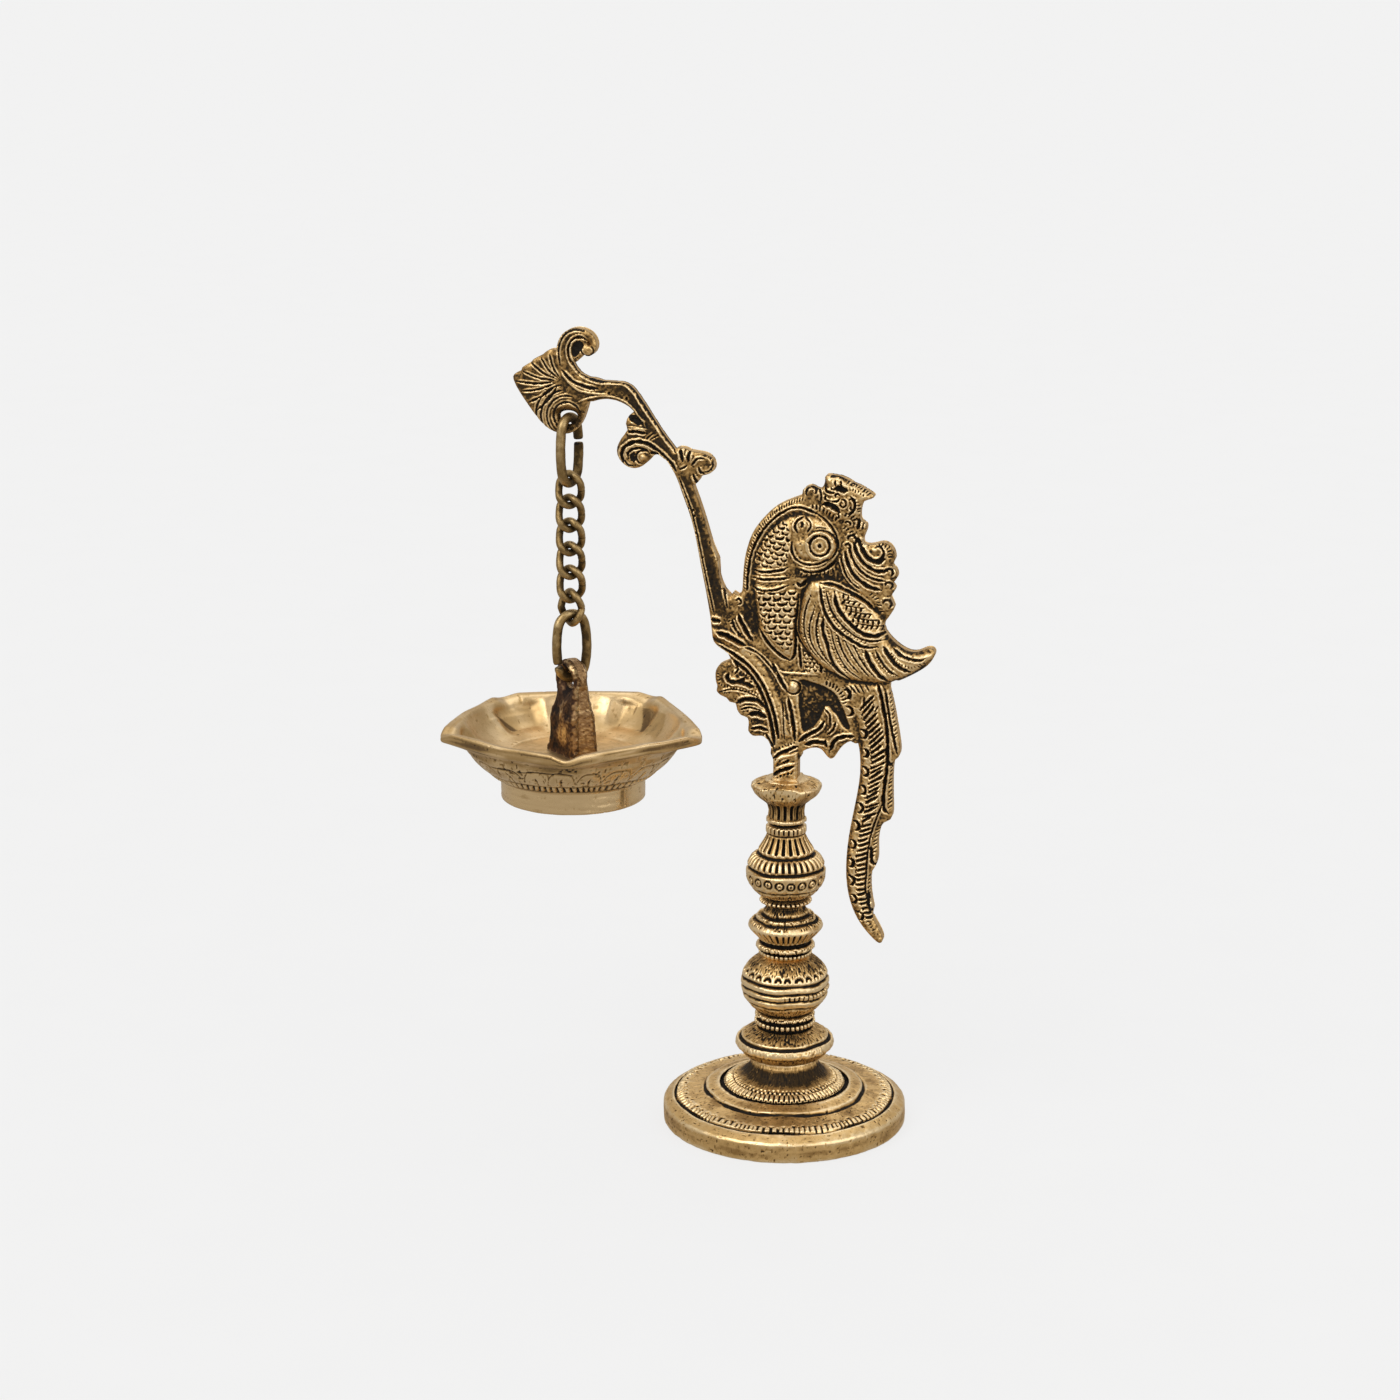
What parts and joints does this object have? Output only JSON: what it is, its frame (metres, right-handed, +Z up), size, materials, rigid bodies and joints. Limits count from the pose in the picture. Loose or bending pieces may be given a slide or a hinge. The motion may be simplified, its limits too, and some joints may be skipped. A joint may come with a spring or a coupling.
{
  "type": "standing oil lamp",
  "caption": "Standing brass oil lamp: turned base and stem, cast bird branch, and a five-cornered wick bowl hung on a short chain.",
  "frame": {"origin": "on the stem's axis, on the surface the lamp stands on", "axes": "+Z up; the branch lies in the X-Z plane with the bowl towards -X; the branch's front face looks to -Y"},
  "size_m": [0.1245, 0.0675, 0.2057],
  "materials": {
    "antique_brass": "cast and turned brass with dark patina in its recesses",
    "plain_brass": "plain brass",
    "wire_brass": "drawn brass wire, dulled",
    "polished_brass": "scraped and buffed cast brass",
    "rough_brass": "rough as cast, dark brown"
  },
  "bodies": {
    "stand": {"base": "antique_brass", "base_washer": "plain_brass", "base_nut": "plain_brass", "tie_stud": "plain_brass", "lower_stem": "antique_brass", "upper_stem": "antique_brass", "branch_casting": "antique_brass"},
    "top_ring": {"top_ring": "wire_brass"},
    "link_1": {"chain_link_1": "wire_brass"},
    "link_2": {"chain_link_2": "wire_brass"},
    "link_3": {"chain_link_3": "wire_brass"},
    "link_4": {"chain_link_4": "wire_brass"},
    "link_5": {"chain_link_5": "wire_brass"},
    "link_6": {"chain_link_6": "wire_brass"},
    "bottom_ring": {"bottom_ring": "wire_brass"},
    "bowl": {"oil_bowl": "polished_brass", "bowl_lug": "rough_brass"}
  },
  "joints": [
    {"name": "top_ring_swing", "type": "hinge", "parent": "stand", "child": "top_ring", "pos_m": [-0.056, 0, 0.18355], "axis": [0, 1, 0], "range_deg": [-3, 35]},
    {"name": "link_1_swing", "type": "hinge", "parent": "top_ring", "child": "link_1", "pos_m": [-0.056, 0, 0.16763], "axis": [1, 0, 0], "range_deg": [-15, 15]},
    {"name": "link_2_swing", "type": "hinge", "parent": "link_1", "child": "link_2", "pos_m": [-0.056, 0, 0.16153], "axis": [0, 1, 0], "range_deg": [-3, 20]},
    {"name": "link_3_swing", "type": "hinge", "parent": "link_2", "child": "link_3", "pos_m": [-0.056, 0, 0.15543], "axis": [1, 0, 0], "range_deg": [-20, 20]},
    {"name": "link_4_swing", "type": "hinge", "parent": "link_3", "child": "link_4", "pos_m": [-0.056, 0, 0.14933], "axis": [0, 1, 0], "range_deg": [-3, 20]},
    {"name": "link_5_swing", "type": "hinge", "parent": "link_4", "child": "link_5", "pos_m": [-0.056, 0, 0.14323], "axis": [1, 0, 0], "range_deg": [-20, 20]},
    {"name": "link_6_swing", "type": "hinge", "parent": "link_5", "child": "link_6", "pos_m": [-0.056, 0, 0.13713], "axis": [0, 1, 0], "range_deg": [-4, 20]},
    {"name": "bottom_ring_swing", "type": "hinge", "parent": "link_6", "child": "bottom_ring", "pos_m": [-0.056, 0, 0.13103], "axis": [1, 0, 0], "range_deg": [-20, 20]},
    {"name": "bowl_tilt", "type": "hinge", "parent": "bottom_ring", "child": "bowl", "pos_m": [-0.056, 0, 0.11511], "axis": [0.7071, 0.7071, 0], "range_deg": [-15, 15]}
  ]
}
